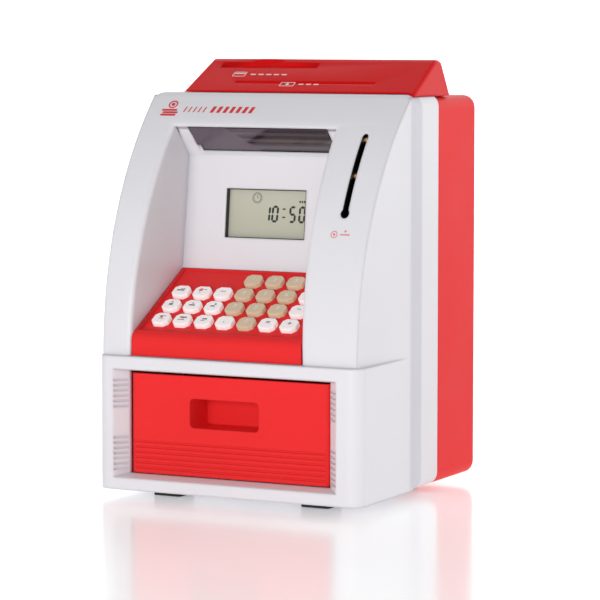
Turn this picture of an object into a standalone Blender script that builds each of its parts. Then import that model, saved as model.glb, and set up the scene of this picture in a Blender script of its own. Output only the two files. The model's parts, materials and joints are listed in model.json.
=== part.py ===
"""Toy cash-machine savings bank.

A white front shell with an alcove for the keypad and display, a red rear shell, a red hood with card and
banknote slots, a red keypad deck with separate keys, and a red money drawer behind an electric latch.
Lengths are written in millimetres and scaled by MM. In that frame x runs to the right, y runs back from
the front of the base and z runs up from the floor; the parent empty moves it to the middle of the footprint.
"""
import math

import bmesh
import bpy
from mathutils import Matrix, Vector

MM = 0.001

# Overall size
DEPTH = 138.4
FLANGE_HALF = 78.0
REAR_HALF = 77.5
FLANGE_TOP = 208.6
REAR_TOP = 207.0
BASE_BOTTOM = 4.0
PARTING_Y = 88.6
CORNER_RADIUS = 6.5
WALL = 2.4
GAP = 0.3

# Front shell: a base block with the curved upper front standing behind it
BASE_TOP = 73.75
BASE_HALF = 76.0
BASE_NARROWING = 0.0145
BASE_CORNER = 7.0
UPPER_HALF = 73.1
DRAFT = 0.035
ARC_RADIUS = 180.0
ARC_CENTRE = (182.0, 74.0)
FRAME_DEPTH = 10.0

# Alcove: left and right walls lean outwards downwards, the ceiling and back wall are flat
ALCOVE_LEFT = (-57.1, -55.3)
ALCOVE_RIGHT = (42.0, 39.2)
ALCOVE_Z = (74.0, 190.7)
CEILING_FRONT = (45.0, 190.7)
CEILING_BACK = (63.2, 175.2)
BACK_WALL_FOOT = (57.0, 115.7)
BACK_WALL_LEAN = math.radians(5.95)
ALCOVE_LIP = 2.5
ALCOVE_WALL = 2.2

# Display opening in the back wall and smoked window in the ceiling, along each plane
DISPLAY_X = (-32.0, 15.0)
DISPLAY_UP = (16.9, 42.8)
SMOKED_X = (-45.5, 31.0)
SMOKED_ALONG = (4.0, 20.4)

# Keypad deck: the key field slopes back from under the front row of keys
FIELD_ORIGIN = (15.97, 91.07)
FIELD_SLOPE = math.radians(30.7)
DECK_FRONT_Y = 3.0
RIM_FRONT = (6.6, 87.0)
RIM_BACK = (56.4, 115.75)
KEY_PITCH = (12.4, 12.3)
FIRST_KEY_X = -45.7
KEY_SIZE = (9.5, 9.0)
KEY_CORNER = 2.3
KEY_TOP = 2.4
KEY_FOOT_SIZE = (10.8, 10.4)
DECK_UNDERSIDE = -1.8
KEY_COLUMNS = 7
KEY_ROWS = 4
BLANK_COLUMNS = 3

# Drawer
DRAWER_X = (-60.1, 55.3)
DRAWER_Z = (12.5, 64.4)
DRAWER_FACE_Y = 7.6
DRAWER_PLATE = 2.8
POCKET_X = (-25.0, 15.0)
POCKET_Z = (37.6, 52.8)
POCKET_DEPTH = 19.0
POCKET_WALL = 1.8
RIB_PITCH = 2.75
TRAY_X = (-54.5, 51.0)
TRAY_Z = (12.9, 54.0)
TRAY_BACK = 112.0
TRAY_WALL = 2.0
CATCH_Y = (16.0, 19.6)

# Hood
HOOD_X_LOW = (-59.8, 75.6)
HOOD_X_HIGH = (-57.6, 74.0)
HOOD_FRONT = (64.0, 208.9)
HOOD_RIDGE = (95.3, 226.0)
HOOD_REAR = (108.5, REAR_TOP + GAP)
HOOD_ROUND = 3.6
HOOD_WALL = 2.6
HOOD_PITCH = math.radians(28.8)
HOOD_CLEAR = 232.0
NOTE_WALL_Y = 74.2
CARD_WALL_Y = 91.0
NOTE_SLOT_X = (-33.0, 49.0)
CARD_SLOT_X = (-49.5, 8.6)

# Coin slot in the right cheek
COIN_X = 58.2
COIN_Z = (148.2, 189.0)
COIN_WIDTH = 3.3
CHUTE_OUTER_X = (54.1, 62.3)
CHUTE_INNER_X = (55.6, 60.8)
COIN_LEVER_PIVOT = (51.6, 60.0, 133.0)

# Note feed
FEED_Z = 196.0
FEED_Y = 80.4
FEED_RADIUS = 5.6
PINCH_Y = 70.4
PINCH_RADIUS = 3.8
GEAR_TEETH = 24
PINION_TEETH = 10
GEAR_MODULE = 0.72
GEAR_SPACING = 12.4
GEAR_X = -54.6
PLATE_LEFT = (-51.8, -49.8)
PLATE_RIGHT = (51.4, 53.4)
CARD_LEVER_PIVOT = (-21.0, 96.6, 184.5)

# Latch
LATCH_PIVOT = (58.5, 32.0)
LATCH_SWING = 12.0
PLUNGER_STROKE = 1.7
PLUNGER_X = 67.1
LATCH_Z = 36.0

# Battery bay and casing screws
BAY_X = (-29.0, 29.0)
BAY_Z = (62.0, 94.0)
BAY_FRONT = DEPTH - 18.5
LID_Y = DEPTH - 1.7
CELL_RADIUS = 7.1
CELL_HALF = 24.6
SPEAKER_AT = (35.0, 165.5)
SCREW_X = 64.0
SCREW_Z = (22.0, 198.0)
SCREW_SEAT_Y = 97.9

FOOT_SIZE = (16.0, 16.0, 3.7)
FOOT_X = 43.0
FOOT_Y = (23.0, 115.0)

WHITE = ("white_plastic", (0.80, 0.79, 0.84), 0.28, 0.0)
RED = ("red_plastic", (0.80, 0.035, 0.035), 0.32, 0.0)
KEY_WHITE = ("key_white", (0.85, 0.82, 0.82), 0.35, 0.0)
KEY_BEIGE = ("key_beige", (0.62, 0.50, 0.33), 0.40, 0.0)
BLACK_RUBBER = ("black_rubber", (0.02, 0.02, 0.02), 0.8, 0.0)
GREY_RUBBER = ("grey_rubber", (0.35, 0.35, 0.36), 0.75, 0.0)
CIRCUIT_GREEN = ("circuit_green", (0.03, 0.20, 0.08), 0.45, 0.0)
DISPLAY_GLASS = ("display_glass", (0.53, 0.53, 0.43), 0.15, 0.0)
SMOKED = ("smoked_window", (0.06, 0.045, 0.06), 0.08, 0.0)
WHITE_NYLON = ("white_nylon", (0.75, 0.75, 0.72), 0.5, 0.0)
BLACK_NYLON = ("black_nylon", (0.02, 0.02, 0.02), 0.5, 0.0)
STEEL = ("plated_steel", (0.60, 0.60, 0.62), 0.3, 1.0)
BRASS = ("brass", (0.70, 0.50, 0.20), 0.3, 1.0)
BATTERY = ("battery_wrap", (0.05, 0.08, 0.20), 0.35, 0.0)
SPEAKER = ("speaker_paper", (0.05, 0.05, 0.05), 0.7, 0.0)


# ---------------------------------------------------------------- scene helpers
def clear_scene():
    for item in list(bpy.data.objects):
        bpy.data.objects.remove(item, do_unlink=True)


def new_collection(name):
    collection = bpy.data.collections.new(name)
    bpy.context.scene.collection.children.link(collection)
    return collection


def material(finish):
    name, colour, roughness, metallic = finish
    if name in bpy.data.materials:
        return bpy.data.materials[name]
    result = bpy.data.materials.new(name)
    result.use_nodes = True
    shader = result.node_tree.nodes["Principled BSDF"]
    shader.inputs["Base Color"].default_value = (*colour, 1.0)
    shader.inputs["Roughness"].default_value = roughness
    shader.inputs["Metallic"].default_value = metallic
    return result


def new_empty(name, location, rotation=(0.0, 0.0, 0.0), parent=None):
    empty = bpy.data.objects.new(name, None)
    empty.location = Vector(location) * MM
    empty.rotation_euler = rotation
    empty.parent = parent
    PARTS.objects.link(empty)
    return empty


def add_part(name, mesh, finish, parent=None, location=(0.0, 0.0, 0.0)):
    """A named node; its location is its joint or reference point and its mesh is given round that point."""
    mesh.name = name
    mesh.materials.clear()
    mesh.materials.append(material(finish))
    mesh.shade_smooth()
    mesh.set_sharp_from_angle(angle=math.radians(28.0))
    part = bpy.data.objects.new(name, mesh)
    part.parent = parent or ROOT
    part.location = Vector(location) * MM
    PARTS.objects.link(part)
    return part


def add_cutter(mesh, parent=None):
    cutter = bpy.data.objects.new("cutter", mesh)
    cutter.parent = parent or ROOT
    cutter.hide_render = True
    cutter.display_type = "WIRE"
    CUTTERS.objects.link(cutter)
    return cutter


def combine(part, mesh, operation, parent=None):
    modifier = part.modifiers.new(operation.lower(), "BOOLEAN")
    modifier.operation = operation
    modifier.object = add_cutter(mesh, parent)
    modifier.solver = "EXACT"
    return modifier


def cut(part, mesh, parent=None):
    combine(part, mesh, "DIFFERENCE", parent)


def join(part, mesh, parent=None):
    combine(part, mesh, "UNION", parent)


# ---------------------------------------------------------------- mesh helpers
def finish_mesh(bm, name="shape"):
    mesh = bpy.data.meshes.new(name)
    bmesh.ops.recalc_face_normals(bm, faces=bm.faces)
    if bm.calc_volume(signed=True) < 0.0:
        bmesh.ops.reverse_faces(bm, faces=bm.faces)
    bm.to_mesh(mesh)
    bm.free()
    return mesh


def merged(meshes):
    """Several separate shapes in one mesh, for a cutter made of islands."""
    bm = bmesh.new()
    for mesh in meshes:
        bm.from_mesh(mesh)
        bpy.data.meshes.remove(mesh)
    return finish_mesh(bm)


def box(x, y, z, turn=None):
    """A box between the limits x, y and z; turn is an optional matrix about its centre."""
    centre = Vector((sum(x), sum(y), sum(z))) / 2.0 * MM
    size = Vector((x[1] - x[0], y[1] - y[0], z[1] - z[0])) * MM
    bm = bmesh.new()
    place = Matrix.Translation(centre) @ (turn or Matrix()) @ Matrix.Diagonal((*size, 1.0))
    bmesh.ops.create_cube(bm, size=1.0, matrix=place)
    return finish_mesh(bm)


AXIS_TURN = {
    "x": Matrix.Rotation(math.pi / 2.0, 4, "Y"),
    "y": Matrix.Rotation(-math.pi / 2.0, 4, "X"),
    "z": Matrix(),
}


def rod(radius, span, axis, centre, segments=16):
    """A cylinder along an axis; span is its two ends and centre its other two coordinates, in order."""
    other = list(centre)
    other.insert("xyz".index(axis), sum(span) / 2.0)
    place = Matrix.Translation(Vector(other) * MM) @ AXIS_TURN[axis]
    bm = bmesh.new()
    bmesh.ops.create_cone(
        bm, cap_ends=True, segments=segments, radius1=radius * MM, radius2=radius * MM,
        depth=(span[1] - span[0]) * MM, matrix=place)
    return finish_mesh(bm)


OUTLINE_TURN = {
    "x": Matrix(((0, 0, 1, 0), (1, 0, 0, 0), (0, 1, 0, 0), (0, 0, 0, 1))),
    "y": Matrix(((1, 0, 0, 0), (0, 0, -1, 0), (0, 1, 0, 0), (0, 0, 0, 1))),
    "z": Matrix(),
}


def slab(outline, span, axis, holes=()):
    """A flat outline given thickness along an axis; the outline lists the other two coordinates."""
    curve = bpy.data.curves.new("outline", "CURVE")
    curve.dimensions = "2D"
    curve.fill_mode = "BOTH"
    curve.extrude = (span[1] - span[0]) / 2.0 * MM
    for ring in (outline, *holes):
        spline = curve.splines.new("POLY")
        spline.points.add(len(ring) - 1)
        for point, (first, second) in zip(spline.points, ring):
            point.co = (first * MM, second * MM, 0.0, 1.0)
        spline.use_cyclic_u = True
    holder = bpy.data.objects.new("outline", curve)
    CUTTERS.objects.link(holder)
    bpy.context.view_layer.update()
    graph = bpy.context.evaluated_depsgraph_get()
    flat = bpy.data.meshes.new_from_object(holder.evaluated_get(graph))
    bpy.data.objects.remove(holder, do_unlink=True)
    bm = bmesh.new()
    bm.from_mesh(flat)
    bpy.data.meshes.remove(flat)
    bmesh.ops.remove_doubles(bm, verts=bm.verts, dist=1e-6)
    bmesh.ops.dissolve_limit(bm, angle_limit=math.radians(0.5), verts=bm.verts, edges=bm.edges)
    shift = Vector((0.0, 0.0, 0.0))
    shift["xyz".index(axis)] = sum(span) / 2.0 * MM
    bm.transform(Matrix.Translation(shift) @ OUTLINE_TURN[axis])
    return finish_mesh(bm)


def spread(mesh, left, right):
    """Moves the two flat ends of a slab along x to left(y, z) and right(y, z), to give draft or taper."""
    for vertex in mesh.vertices:
        side = right if vertex.co.x > 0.0 else left
        vertex.co.x = side(vertex.co.y / MM, vertex.co.z / MM) * MM
    return mesh


def loft(sections):
    """Joins rings of points, all with the same count, into one closed solid."""
    bm = bmesh.new()
    rings = [[bm.verts.new(Vector(point) * MM) for point in section] for section in sections]
    count = len(rings[0])
    for low, high in zip(rings, rings[1:]):
        for index in range(count):
            after = (index + 1) % count
            bm.faces.new((low[index], low[after], high[after], high[index]))
    bm.faces.new(rings[0])
    bm.faces.new(rings[-1])
    return finish_mesh(bm)


def turned(profile, axis, centre, steps=20):
    """A round solid from a (radius, height) profile listed from its top end to its bottom end."""
    mesh = bpy.data.meshes.new("profile")
    points = [(radius * MM, 0.0, height * MM) for radius, height in profile]
    mesh.from_pydata(points, [(index, index + 1) for index in range(len(points) - 1)], [])
    holder = bpy.data.objects.new("profile", mesh)
    CUTTERS.objects.link(holder)
    screw = holder.modifiers.new("turn", "SCREW")
    screw.steps = steps
    screw.render_steps = steps
    screw.use_merge_vertices = True
    screw.merge_threshold = 0.00001
    bpy.context.view_layer.update()
    graph = bpy.context.evaluated_depsgraph_get()
    result = bpy.data.meshes.new_from_object(holder.evaluated_get(graph))
    bpy.data.objects.remove(holder, do_unlink=True)
    result.transform(Matrix.Translation(Vector(centre) * MM) @ AXIS_TURN[axis])
    bm = bmesh.new()
    bm.from_mesh(result)
    bmesh.ops.remove_doubles(bm, verts=bm.verts, dist=1e-6)
    return finish_mesh(bm)


def round_edges(part, width, chosen, segments=3):
    """Bevels the edges whose end points satisfy chosen(first, second), given in millimetres."""
    mesh = part.data
    weights = mesh.attributes.new("bevel_weight_edge", "FLOAT", "EDGE")
    for edge in mesh.edges:
        first, second = (mesh.vertices[index].co / MM for index in edge.vertices)
        weights.data[edge.index].value = 1.0 if chosen(first, second) else 0.0
    bevel = part.modifiers.new("round", "BEVEL")
    bevel.width = width * MM
    bevel.segments = segments
    bevel.limit_method = "WEIGHT"


def rounded_mesh(mesh, width, chosen, segments=3):
    """The same bevel, worked out at once, for a shape that is then joined to or cut from another."""
    holder = bpy.data.objects.new("rounding", mesh)
    CUTTERS.objects.link(holder)
    round_edges(holder, width, chosen, segments)
    bpy.context.view_layer.update()
    graph = bpy.context.evaluated_depsgraph_get()
    result = bpy.data.meshes.new_from_object(holder.evaluated_get(graph))
    bpy.data.objects.remove(holder, do_unlink=True)
    return result


def rounded_rectangle(half_width, bottom, top, radius, steps=4):
    """Points of an upright rectangle with round corners, in x and z."""
    points = []
    corners = (
        (half_width - radius, top - radius, 0.0),
        (-half_width + radius, top - radius, 90.0),
        (-half_width + radius, bottom + radius, 180.0),
        (half_width - radius, bottom + radius, 270.0),
    )
    for x, z, start in corners:
        for step in range(steps + 1):
            angle = math.radians(start + 90.0 * step / steps)
            points.append((x + radius * math.cos(angle), z + radius * math.sin(angle)))
    return points


# ---------------------------------------------------------------- shared surfaces
def front_arc(offset, low, high, steps=14):
    """Points (y, z) on the curved front, moved inwards by offset, from height low to height high."""
    radius = ARC_RADIUS - offset
    first = math.asin((low - ARC_CENTRE[1]) / radius)
    last = math.asin((high - ARC_CENTRE[1]) / radius)
    angles = [first + (last - first) * step / steps for step in range(steps + 1)]
    return [(ARC_CENTRE[0] - radius * math.cos(a), ARC_CENTRE[1] + radius * math.sin(a)) for a in angles]


def alcove_side(pair, z):
    share = (z - ALCOVE_Z[0]) / (ALCOVE_Z[1] - ALCOVE_Z[0])
    return pair[0] + (pair[1] - pair[0]) * share


def alcove_left(z):
    return alcove_side(ALCOVE_LEFT, z)


def alcove_right(z):
    return alcove_side(ALCOVE_RIGHT, z)


def along(start, end, distance, offset=0.0):
    """The point (y, z) at a distance from start towards end, moved to the left of that way by offset."""
    way = Vector((end[0] - start[0], end[1] - start[1])).normalized()
    return (start[0] + way.x * distance - way.y * offset, start[1] + way.y * distance + way.x * offset)


def back_wall(distance, depth=0.0):
    """A point on the alcove's back wall, up from its foot, and behind its face by depth."""
    return along(BACK_WALL_FOOT, CEILING_BACK, distance, -depth)


def ceiling(distance, depth=0.0):
    """A point on the alcove's ceiling, back from its front edge, and above its face by depth."""
    return along(CEILING_FRONT, CEILING_BACK, distance, depth)


def deck_point(up, above):
    """A point (y, z) of the key field, up the slope from the front row and above the field."""
    y = FIELD_ORIGIN[0] + up * math.cos(FIELD_SLOPE) - above * math.sin(FIELD_SLOPE)
    z = FIELD_ORIGIN[1] + up * math.sin(FIELD_SLOPE) + above * math.cos(FIELD_SLOPE)
    return (y, z)


def gap_walls(mesh, clearance):
    """Fits a slab between the alcove's side walls; a negative clearance runs it into them."""
    return spread(
        mesh, lambda y, z: alcove_left(z) + clearance, lambda y, z: alcove_right(z) - clearance)


# ---------------------------------------------------------------- front casing
def upper_body():
    outline = [(2.0, 66.0), *front_arc(0.0, 74.0, 207.2, 18), (61.0, 66.0)]
    mesh = spread(
        slab(outline, (-1.0, 1.0), "x"),
        lambda y, z: -UPPER_HALF - DRAFT * y, lambda y, z: UPPER_HALF + DRAFT * y)

    def on_front(first, second):
        return max(first.y, second.y) < 60.9 and first.x * second.x > 0.0 and first.z > 70.0

    return rounded_mesh(mesh, 3.0, on_front)


def base_block():
    outline = [(0.0, BASE_BOTTOM), (0.0, BASE_TOP), (66.0, BASE_TOP), (66.0, BASE_BOTTOM)]
    mesh = spread(
        slab(outline, (-1.0, 1.0), "x"),
        lambda y, z: BASE_NARROWING * y - BASE_HALF, lambda y, z: BASE_HALF - BASE_NARROWING * y)

    def upright(first, second):
        return max(first.y, second.y) < 0.1 and abs(first.z - second.z) > 10.0

    mesh = rounded_mesh(mesh, BASE_CORNER, upright, 5)

    def rim(first, second):
        return abs(first.z - second.z) < 0.1 and max(first.y, second.y) < 60.0 and first.z > 50.0

    return rounded_mesh(mesh, 1.2, rim, 2)


def flange(grow=0.0):
    """The outer frame of the front shell, growing out of the side faces through a hollow curve."""
    stations = (
        (57.0, 74.8, 200.0, 3.0), (60.0, 75.0, 205.0, 3.0), (61.0, 75.2, 207.15, 3.1),
        (61.8, 75.3, 207.9, 3.4), (62.8, 75.5, 208.35, 3.9), (64.2, 75.95, 208.55, 4.8),
        (65.5, 76.65, FLANGE_TOP, 5.6),
        (66.8, 77.4, FLANGE_TOP, 6.2), (68.2, 77.85, FLANGE_TOP, CORNER_RADIUS),
        (70.0, FLANGE_HALF, FLANGE_TOP, CORNER_RADIUS), (PARTING_Y, FLANGE_HALF, FLANGE_TOP, CORNER_RADIUS),
    )
    sections = []
    for y, half, top, radius in stations:
        ring = rounded_rectangle(half + grow, BASE_BOTTOM + 0.3 - grow, top + grow, radius + grow, 5)
        sections.append([(x, y + grow if y == PARTING_Y else y, z) for x, z in ring])
    return loft(sections)


def front_hollow():
    outline = [
        (FRAME_DEPTH, BASE_BOTTOM + WALL), (FRAME_DEPTH, 70.5), (4.6, 75.0),
        *front_arc(WALL, 76.0, FLANGE_TOP - WALL, 14), (95.0, FLANGE_TOP - WALL),
        (95.0, BASE_BOTTOM + WALL),
    ]
    return spread(
        slab(outline, (-1.0, 1.0), "x"),
        lambda y, z: WALL - UPPER_HALF - DRAFT * y, lambda y, z: UPPER_HALF - WALL + DRAFT * y)


def alcove_shell():
    """The walls round the alcove, before the hollow is cut; their front edge lies inside the front skin."""
    outline = [
        (4.4, 76.5), *front_arc(1.2, 78.0, 192.4, 12), ceiling(4.0, ALCOVE_WALL),
        ceiling(25.5, ALCOVE_WALL), back_wall(59.0, ALCOVE_WALL), back_wall(-5.5, ALCOVE_WALL),
        back_wall(-5.5, -1.0), (30.0, 91.5),
    ]
    return gap_walls(slab(outline, (-1.0, 1.0), "x"), -ALCOVE_WALL)


def alcove_hollow():
    """The hollow itself: a loft from the open front, round a soft lip, to the ceiling and back wall."""
    steps = 14
    heights = [z for _, z in front_arc(0.0, ALCOVE_Z[0] + 0.01, ALCOVE_Z[1], steps)]
    wall_foot = back_wall((ALCOVE_Z[0] - BACK_WALL_FOOT[1]) / math.cos(BACK_WALL_LEAN))

    def ring(offset, grow, y_fixed=None):
        points = []
        for z in heights:
            shifted = z + grow * (z - ALCOVE_Z[0]) / (ALCOVE_Z[1] - ALCOVE_Z[0])
            y = y_fixed
            if y is None:
                radius = ARC_RADIUS - offset
                y = ARC_CENTRE[0] - math.sqrt(radius ** 2 - (shifted - ARC_CENTRE[1]) ** 2)
            points.append((y, z, shifted))
        left = [(alcove_left(z) - grow, y, shifted) for y, z, shifted in points]
        right = [(alcove_right(z) + grow, y, shifted) for y, z, shifted in reversed(points)]
        return left + right

    sections = [ring(0.0, ALCOVE_LIP, -8.0)]
    for step in range(5):
        angle = math.radians(90.0 * step / 4)
        sections.append(ring(
            ALCOVE_LIP * math.sin(angle), ALCOVE_LIP * (1.0 - math.sin(math.acos(1.0 - math.sin(angle))))))
    back = []
    for z in heights:
        share = (z - ALCOVE_Z[0]) / (ALCOVE_Z[1] - ALCOVE_Z[0])
        back.append((
            wall_foot[0] + (CEILING_BACK[0] - wall_foot[0]) * share,
            ALCOVE_Z[0] + (CEILING_BACK[1] - ALCOVE_Z[0]) * share))
    left = [(alcove_left(z), y, z) for y, z in back]
    right = [(alcove_right(z), y, z) for y, z in reversed(back)]
    sections.append(left + right)
    return loft(sections)


def plane_box(place, x, distance, depth):
    """A box on a sloping wall: place(distance, depth) gives its corners, x its width."""
    corners = [
        place(distance[0], depth[0]), place(distance[1], depth[0]),
        place(distance[1], depth[1]), place(distance[0], depth[1]),
    ]
    return slab(corners, x, "x")


def drawer_opening():
    """The flared mouth of the drawer opening and the throat behind it."""
    stations = (
        (-2.0, (-66.5, 62.6), (10.3, 67.0)), (0.0, (-66.5, 62.6), (10.3, 67.0)),
        (DRAWER_FACE_Y, (-60.5, 55.8), (12.0, 65.6)), (16.0, (-60.5, 55.8), (12.0, 65.6)),
    )
    sections = []
    for y, (left, right), (low, high) in stations:
        sections.append([(left, y, low), (right, y, low), (right, y, high), (left, y, high)])
    return loft(sections)


def mouth_grooves():
    """Fine horizontal grooves on the two flared sides of the drawer opening."""
    rows = [61.0 - RIB_PITCH * step for step in range(6)] + [31.0 - RIB_PITCH * step for step in range(7)]
    grooves = []
    for centre_x, turn in ((-63.5, math.radians(51.5)), (59.2, math.radians(133.0))):
        for z in rows:
            grooves.append(box(
                (centre_x - 4.2, centre_x + 4.2), (3.1, 4.5), (z - 0.6, z + 0.6),
                Matrix.Rotation(turn, 4, "Z")))
    return merged(grooves)


def coin_slot():
    """The coin slot: a round lower end, a straight run and a rounded top, all cut straight back."""
    lower = rod(2.4, (5.0, 40.0), "y", (COIN_X, COIN_Z[0] + 1.6), 20)
    half = COIN_WIDTH / 2.0
    slot = box((COIN_X - half, COIN_X + half), (4.0, 56.0), (COIN_Z[0] + 0.5, COIN_Z[1] - half))
    upper = rod(half, (4.0, 56.0), "y", (COIN_X, COIN_Z[1] - half), 16)
    return lower, slot, upper


def make_front_casing():
    casing = add_part("front_casing", upper_body(), WHITE)
    join(casing, base_block())
    join(casing, flange())
    cut(casing, front_hollow())
    join(casing, alcove_shell())
    for side in (-1.0, 1.0):
        for z in SCREW_Z:
            join(casing, rod(4.0, (66.0, PARTING_Y - 0.2), "y", (side * SCREW_X, z), 12))
            join(casing, box(sorted((side * SCREW_X, side * 76.0)), (66.5, 86.0), (z - 1.2, z + 1.2)))
            cut(casing, rod(1.8, (70.0, 92.0), "y", (side * SCREW_X, z), 8))
    for x in (-45.0, 41.0):
        join(casing, box((x - 1.5, x + 1.5), (FRAME_DEPTH - 1.0, 86.0), (5.5, 12.4)))
    cut(casing, alcove_hollow())
    cut(casing, drawer_opening())
    cut(casing, mouth_grooves())
    for cutter in coin_slot():
        cut(casing, cutter)
    cut(casing, plane_box(back_wall, DISPLAY_X, DISPLAY_UP, (-3.0, 6.0)))
    rebate_x = (DISPLAY_X[0] - 4.0, DISPLAY_X[1] + 4.0)
    rebate_up = (DISPLAY_UP[0] - 4.0, DISPLAY_UP[1] + 4.0)
    cut(casing, plane_box(back_wall, rebate_x, rebate_up, (1.3, 6.0)))
    cut(casing, plane_box(ceiling, SMOKED_X, SMOKED_ALONG, (-3.0, 6.0)))
    ledge_x = (SMOKED_X[0] - 2.4, SMOKED_X[1] + 2.4)
    ledge_along = (SMOKED_ALONG[0] - 2.4, SMOKED_ALONG[1] + 2.4)
    cut(casing, plane_box(ceiling, ledge_x, ledge_along, (0.8, 6.0)))
    cut(casing, box((-50.0, 66.0), (70.0, 95.0), (202.0, 215.0)))
    return casing


# ---------------------------------------------------------------- rear casing
def bay_box(margin, front, back):
    """A box on the outline of the battery bay, grown by a margin."""
    return box((BAY_X[0] - margin, BAY_X[1] + margin), (front, back), (BAY_Z[0] - margin, BAY_Z[1] + margin))


def make_rear_casing():
    stations = (
        (PARTING_Y + GAP, REAR_HALF, 0.0), (DEPTH - 2.4, REAR_HALF, 0.0), (DEPTH - 0.9, REAR_HALF, 0.5),
        (DEPTH - 0.2, REAR_HALF, 1.3), (DEPTH, REAR_HALF, 2.4),
    )
    sections = []
    for y, half, inset in stations:
        ring = rounded_rectangle(
            half - inset, BASE_BOTTOM + inset + 0.2, REAR_TOP - inset, CORNER_RADIUS - inset, 5)
        sections.append([(x, y, z) for x, z in ring])
    casing = add_part("rear_casing", loft(sections), RED)
    hollow = rounded_rectangle(REAR_HALF - WALL, BASE_BOTTOM + WALL + 0.2, REAR_TOP - WALL, 4.1, 3)
    cut(casing, loft([[(x, 80.0, z) for x, z in hollow], [(x, DEPTH - WALL, z) for x, z in hollow]]))
    join(casing, bay_box(6.0, BAY_FRONT - 2.0, DEPTH - 2.0))
    cut(casing, bay_box(0.0, BAY_FRONT, DEPTH + 2.0))
    cut(casing, bay_box(3.0, LID_Y - GAP, DEPTH + 2.0))
    for side in (-1.0, 1.0):
        for z in SCREW_Z:
            join(casing, rod(5.4, (95.0, DEPTH - 2.0), "y", (side * SCREW_X, z), 16))
            cut(casing, rod(3.8, (97.5, DEPTH + 2.0), "y", (side * SCREW_X, z), 16))
            cut(casing, rod(1.9, (90.0, 99.0), "y", (side * SCREW_X, z), 8))
    for step in range(6):
        z = 153.0 + 5.0 * step
        cut(casing, box((22.0, 48.0), (DEPTH - 6.0, DEPTH + 2.0), (z - 1.0, z + 1.0)))
    cut(casing, box((-50.0, 66.0), (80.0, 100.0), (200.0, 215.0)))
    return casing


# ---------------------------------------------------------------- hood
def hood_side(pair_low, pair_high, z):
    share = (z - HOOD_FRONT[1]) / (HOOD_RIDGE[1] - HOOD_FRONT[1])
    return pair_low + (pair_high - pair_low) * share


def hood_taper(mesh, inset):
    return spread(
        mesh,
        lambda y, z: hood_side(HOOD_X_LOW[0], HOOD_X_HIGH[0], z) + inset,
        lambda y, z: hood_side(HOOD_X_LOW[1], HOOD_X_HIGH[1], z) - inset)


def hood_slope(y, depth=0.0):
    rise = (HOOD_RIDGE[1] - 0.6 - HOOD_FRONT[1]) / (HOOD_RIDGE[0] - 2.0 - HOOD_FRONT[0])
    return HOOD_FRONT[1] + (y - HOOD_FRONT[0]) * rise - depth


def make_hood():
    """The hood: a wedge trimmed to sit on the top of both shells, hollow below."""
    ridge_y, ridge_z = HOOD_RIDGE
    outline = [
        HOOD_FRONT, (ridge_y - 3.4, hood_slope(ridge_y - 3.4)), (ridge_y - 1.6, ridge_z - 0.35),
        (ridge_y, ridge_z), (ridge_y + 3.4, ridge_z - 0.2), (ridge_y + 5.4, ridge_z - 1.2),
        (ridge_y + 6.4, ridge_z - 3.0), HOOD_REAR, (HOOD_FRONT[0], HOOD_REAR[1]),
    ]
    solid = hood_taper(slab(outline, (-1.0, 1.0), "x"), 0.0)

    def side_edge(first, second):
        same_side = first.x * second.x > 0.0
        low = max(first.z, second.z) < HOOD_REAR[1] + 0.1
        return same_side and not low and abs(first.y - second.y) > 0.05

    hood = add_part("top_hood", rounded_mesh(solid, HOOD_ROUND, side_edge), RED)
    hollow = [
        (69.0, 200.0), (69.0, hood_slope(71.0, 4.6)), (ridge_y - 3.0, hood_slope(ridge_y - 3.0, 4.4)),
        (ridge_y + 4.0, hood_slope(ridge_y - 3.0, 4.4)), (HOOD_REAR[0] - 3.2, HOOD_REAR[1] + 0.6),
        (HOOD_REAR[0] - 3.2, 200.0),
    ]
    cut(hood, hood_taper(slab(hollow, (-1.0, 1.0), "x"), HOOD_WALL))
    cut(hood, flange(GAP))
    cut_slot(hood, NOTE_SLOT_X, NOTE_WALL_Y, (3.2, 1.4), (0.5, 1.9))
    cut_slot(hood, CARD_SLOT_X, CARD_WALL_Y, (5.6, 2.9), (0.8, 2.4))
    cut(hood, thumb_scoop())
    return hood


def cut_slot(hood, x, wall_y, recess, throat):
    """A stepped recess in the slope with an upright back wall, and the slot that goes on down from it."""
    recess_length, recess_depth = recess
    inset, reach = throat
    cut(hood, box(x, (wall_y - recess_length, wall_y), (hood_slope(wall_y) - recess_depth, HOOD_CLEAR)))
    cut(hood, box((x[0] + inset, x[1] - inset), (wall_y - reach, wall_y - GAP), (200.0, 216.0)))


def thumb_scoop():
    """A shallow oval dip behind the card slot, where a thumb pushes the card in."""
    scoop = bmesh.new()
    middle = Vector((-22.0, CARD_WALL_Y, hood_slope(CARD_WALL_Y))) * MM
    tilt = Matrix.Rotation(HOOD_PITCH, 4, "X")
    place = Matrix.Translation(middle) @ tilt @ Matrix.Diagonal((9.5, 3.6, 1.7, 1.0))
    bmesh.ops.create_uvsphere(scoop, u_segments=24, v_segments=12, radius=MM, matrix=place)
    return finish_mesh(scoop)


# ---------------------------------------------------------------- keypad
def key_positions():
    """Column, row and centre of each key; the back row starts after the blank columns."""
    for row in range(KEY_ROWS):
        for column in range(KEY_COLUMNS):
            if row == KEY_ROWS - 1 and column < BLANK_COLUMNS:
                continue
            yield column, row, FIRST_KEY_X + KEY_PITCH[0] * column, KEY_PITCH[1] * row


def key_ring(half_x, half_y, cut_corner, z):
    return [
        (half_x - cut_corner, -half_y, z), (half_x, -half_y + cut_corner, z),
        (half_x, half_y - cut_corner, z), (half_x - cut_corner, half_y, z),
        (-half_x + cut_corner, half_y, z), (-half_x, half_y - cut_corner, z),
        (-half_x, -half_y + cut_corner, z), (-half_x + cut_corner, -half_y, z),
    ]


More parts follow.
